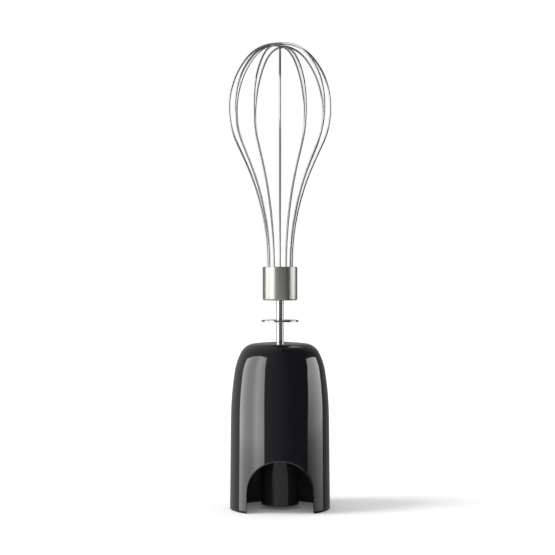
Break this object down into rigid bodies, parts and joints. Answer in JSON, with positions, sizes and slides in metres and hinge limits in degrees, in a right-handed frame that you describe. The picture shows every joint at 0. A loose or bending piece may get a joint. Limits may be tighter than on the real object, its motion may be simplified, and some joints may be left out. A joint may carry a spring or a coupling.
{
  "type": "whisk attachment for a hand blender",
  "caption": "Balloon whisk of steel wire loops on a ferrule and thin shaft with a splash disc, standing on a black bell-shaped gear coupling with an arched cut-out.",
  "frame": {"origin": "middle of the rim of the coupling collar, on the axis", "axes": "+Z along the common axis, from the collar towards the whisk's crown; the collar's arch faces -Y"},
  "size_m": [0.0536, 0.0536, 0.2421],
  "materials": {
    "housing_gloss_black": "high-gloss moulded black",
    "inner_gloss_black": "glossy moulded black",
    "rubber_black": "moulded rubber",
    "acetal_white": "natural acetal",
    "screw_steel": "zinc plated",
    "sintered_bronze": "oil-filled sintered bronze",
    "coupling_grey": "glass-filled nylon",
    "carrier_grey": "glass-filled nylon",
    "holder_grey": "glass-filled nylon",
    "shaft_steel": "ground steel",
    "gear_steel": "hobbed steel",
    "spring_steel": "spring steel",
    "polished_steel": "polished stainless steel",
    "brushed_steel": "brushed stainless steel",
    "wire_steel": "drawn stainless wire"
  },
  "bodies": {
    "gearbox": {"outer_housing": "housing_gloss_black", "coupling_base": "inner_gloss_black", "case_gasket": "rubber_black", "ring_gear": "acetal_white", "gear_cover": "inner_gloss_black", "case_screws": "screw_steel", "input_bush_lower": "sintered_bronze", "input_bush_upper": "sintered_bronze", "output_bush": "sintered_bronze", "nose_bush": "sintered_bronze", "spindle_seal": "rubber_black"},
    "input": {"drive_coupling": "coupling_grey", "input_shaft": "shaft_steel", "input_circlip": "spring_steel", "sun_gear": "gear_steel"},
    "carrier": {"planet_carrier": "carrier_grey", "carrier_plate": "carrier_grey", "planet_pins": "shaft_steel", "carrier_screws": "screw_steel", "thrust_washer": "acetal_white", "spindle_circlip": "spring_steel", "grip_ring": "rubber_black"},
    "planet_1": {"planet_gear_1": "acetal_white"},
    "planet_2": {"planet_gear_2": "acetal_white"},
    "planet_3": {"planet_gear_3": "acetal_white"},
    "whisk": {"whisk_shaft": "polished_steel", "splash_disc": "polished_steel", "ferrule": "brushed_steel", "wire_holder": "holder_grey", "whisk_wire_1": "wire_steel", "whisk_wire_2": "wire_steel", "whisk_wire_3": "wire_steel", "whisk_wire_4": "wire_steel", "whisk_wire_5": "wire_steel", "whisk_wire_6": "wire_steel"}
  },
  "joints": [
    {"name": "carrier_spin", "type": "hinge", "parent": "gearbox", "child": "carrier", "pos_m": [0, 0, 0.05], "axis": [0, 0, 1], "continuous": true},
    {"name": "input_spin", "type": "hinge", "parent": "gearbox", "child": "input", "pos_m": [0, 0, 0.02], "axis": [0, 0, 1], "continuous": true},
    {"name": "planet_1_spin", "type": "hinge", "parent": "carrier", "child": "planet_1", "pos_m": [0, 0.0105, 0.0379], "axis": [0, 0, 1], "continuous": true},
    {"name": "planet_2_spin", "type": "hinge", "parent": "carrier", "child": "planet_2", "pos_m": [-0.00909, -0.00525, 0.0379], "axis": [0, 0, 1], "continuous": true},
    {"name": "planet_3_spin", "type": "hinge", "parent": "carrier", "child": "planet_3", "pos_m": [0.00909, -0.00525, 0.0379], "axis": [0, 0, 1], "continuous": true},
    {"name": "whisk_pull", "type": "slide", "parent": "carrier", "child": "whisk", "axis": [0, 0, 1], "range_m": [0, 0.032]}
  ],
  "couplings": [
    {"joint": "input_spin", "follows": "carrier_spin", "ratio": 5},
    {"joint": "planet_1_spin", "follows": "carrier_spin", "ratio": -2.6667},
    {"joint": "planet_2_spin", "follows": "carrier_spin", "ratio": -2.6667},
    {"joint": "planet_3_spin", "follows": "carrier_spin", "ratio": -2.6667}
  ]
}
